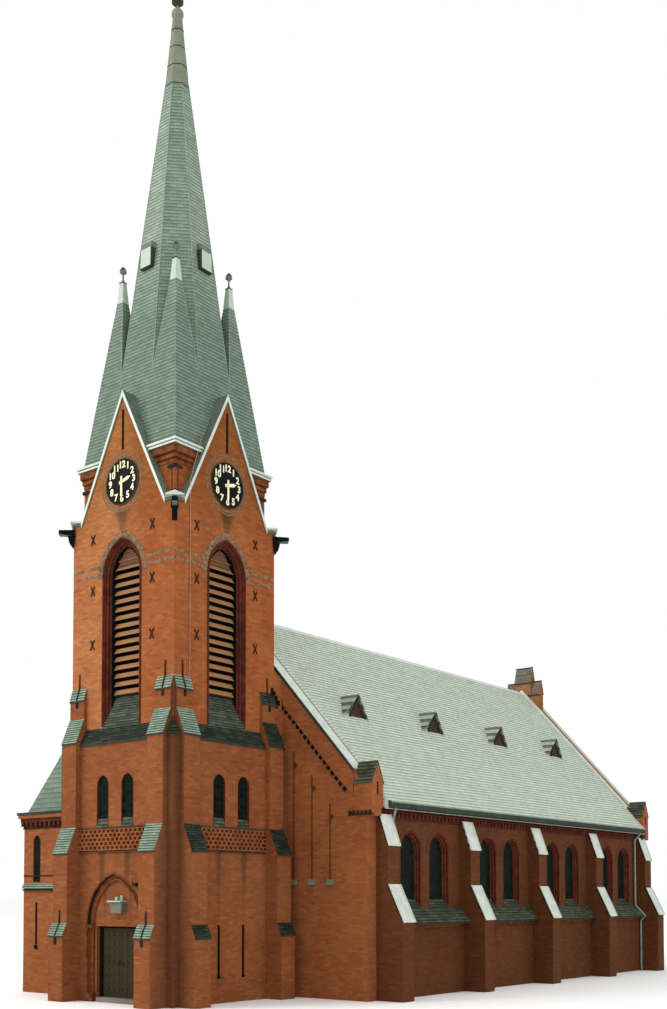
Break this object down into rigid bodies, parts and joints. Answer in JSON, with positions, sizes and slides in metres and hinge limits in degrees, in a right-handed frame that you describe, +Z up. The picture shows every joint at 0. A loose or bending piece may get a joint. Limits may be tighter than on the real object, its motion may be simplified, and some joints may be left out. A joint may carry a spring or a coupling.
{
  "type": "church",
  "caption": "Brick church with a square gabled tower, slate spire with corner pinnacles, buttressed nave and a small stair annex.",
  "frame": {"origin": "centre of the underside of the whole building", "axes": "X to the right as you face the entrance, Y from the entrance towards the far end of the nave, Z up"},
  "size_m": [14.06, 28.456, 34.48],
  "materials": {
    "brick": "weathered hand-moulded brick in lime mortar",
    "slate": "grey-green slates in courses, worn matt",
    "pale_slate": "pale grey-green slates, lightly stained",
    "zinc": "dull weathered sheet metal",
    "oak": "dark stained boards",
    "louvre_wood": "bleached boards",
    "hand_paint": "cream paint",
    "window_glass": "leaded panes that look dark from outside",
    "floor_stone": "worn flags"
  },
  "bodies": {
    "building": {"tower_front_wall_left": "brick", "tower_front_wall_right": "brick", "tower_front_wall_over_door": "brick", "tower_right_wall": "brick", "tower_left_wall": "brick", "tower_back_wall": "brick", "church_floor": "floor_stone", "belfry_wall_front": "brick", "louvres_front": "louvre_wood", "corner_block_front": "brick", "belfry_wall_right": "brick", "louvres_right": "louvre_wood", "corner_block_right": "brick", "belfry_wall_back": "brick", "corner_block_back": "brick", "belfry_wall_left": "brick", "louvres_left": "louvre_wood", "corner_block_left": "brick", "gable_copings": "zinc", "spire_roof": "slate", "spire_point": "zinc", "nave_west_gable": "brick", "nave_east_gable": "brick", "nave_wall_right": "brick", "nave_buttresses_right": "brick", "nave_roof_right": "pale_slate", "nave_glass_right": "window_glass", "nave_wall_left": "brick", "nave_buttresses_left": "brick", "nave_roof_left": "pale_slate", "nave_glass_left": "window_glass", "tower_glass_front": "window_glass", "tower_glass_right": "window_glass", "nave_glass_east": "window_glass", "annex_wall": "brick", "annex_roof": "slate"},
    "door_leaf_left": {"door_leaf_left": "oak"},
    "door_leaf_right": {"door_leaf_right": "oak"},
    "minute_hand_front": {"minute_hand_front": "hand_paint"},
    "hour_hand_front": {"hour_hand_front": "hand_paint"},
    "minute_hand_right": {"minute_hand_right": "hand_paint"},
    "hour_hand_right": {"hour_hand_right": "hand_paint"},
    "minute_hand_back": {"minute_hand_back": "hand_paint"},
    "hour_hand_back": {"hour_hand_back": "hand_paint"},
    "minute_hand_left": {"minute_hand_left": "hand_paint"},
    "hour_hand_left": {"hour_hand_left": "hand_paint"}
  },
  "joints": [
    {"name": "door_left_hinge", "type": "hinge", "parent": "building", "child": "door_leaf_left", "pos_m": [-0.871, -13.126, 0.18], "axis": [0, 0, 1], "range_deg": [0, 85]},
    {"name": "door_right_hinge", "type": "hinge", "parent": "building", "child": "door_leaf_right", "pos_m": [0.871, -13.126, 0.18], "axis": [0, 0, -1], "range_deg": [0, 85]},
    {"name": "minute_hand_front_turn", "type": "hinge", "parent": "building", "child": "minute_hand_front", "pos_m": [0, -13.343, 16.896], "axis": [0, 1, 0], "continuous": true},
    {"name": "hour_hand_front_turn", "type": "hinge", "parent": "building", "child": "hour_hand_front", "pos_m": [0, -13.325, 16.896], "axis": [0, 1, 0], "continuous": true},
    {"name": "minute_hand_right_turn", "type": "hinge", "parent": "building", "child": "minute_hand_right", "pos_m": [2.461, -10.882, 16.896], "axis": [-1, 0, 0], "continuous": true},
    {"name": "hour_hand_right_turn", "type": "hinge", "parent": "building", "child": "hour_hand_right", "pos_m": [2.443, -10.882, 16.896], "axis": [-1, 0, 0], "continuous": true},
    {"name": "minute_hand_back_turn", "type": "hinge", "parent": "building", "child": "minute_hand_back", "pos_m": [0, -8.421, 16.896], "axis": [0, -1, 0], "continuous": true},
    {"name": "hour_hand_back_turn", "type": "hinge", "parent": "building", "child": "hour_hand_back", "pos_m": [0, -8.439, 16.896], "axis": [0, -1, 0], "continuous": true},
    {"name": "minute_hand_left_turn", "type": "hinge", "parent": "building", "child": "minute_hand_left", "pos_m": [-2.461, -10.882, 16.896], "axis": [1, 0, 0], "continuous": true},
    {"name": "hour_hand_left_turn", "type": "hinge", "parent": "building", "child": "hour_hand_left", "pos_m": [-2.443, -10.882, 16.896], "axis": [1, 0, 0], "continuous": true}
  ],
  "couplings": [
    {"joint": "hour_hand_front_turn", "follows": "minute_hand_front_turn", "ratio": 0.083333},
    {"joint": "minute_hand_right_turn", "follows": "minute_hand_front_turn", "ratio": 1},
    {"joint": "hour_hand_right_turn", "follows": "minute_hand_front_turn", "ratio": 0.083333},
    {"joint": "minute_hand_back_turn", "follows": "minute_hand_front_turn", "ratio": 1},
    {"joint": "hour_hand_back_turn", "follows": "minute_hand_front_turn", "ratio": 0.083333},
    {"joint": "minute_hand_left_turn", "follows": "minute_hand_front_turn", "ratio": 1},
    {"joint": "hour_hand_left_turn", "follows": "minute_hand_front_turn", "ratio": 0.083333}
  ]
}
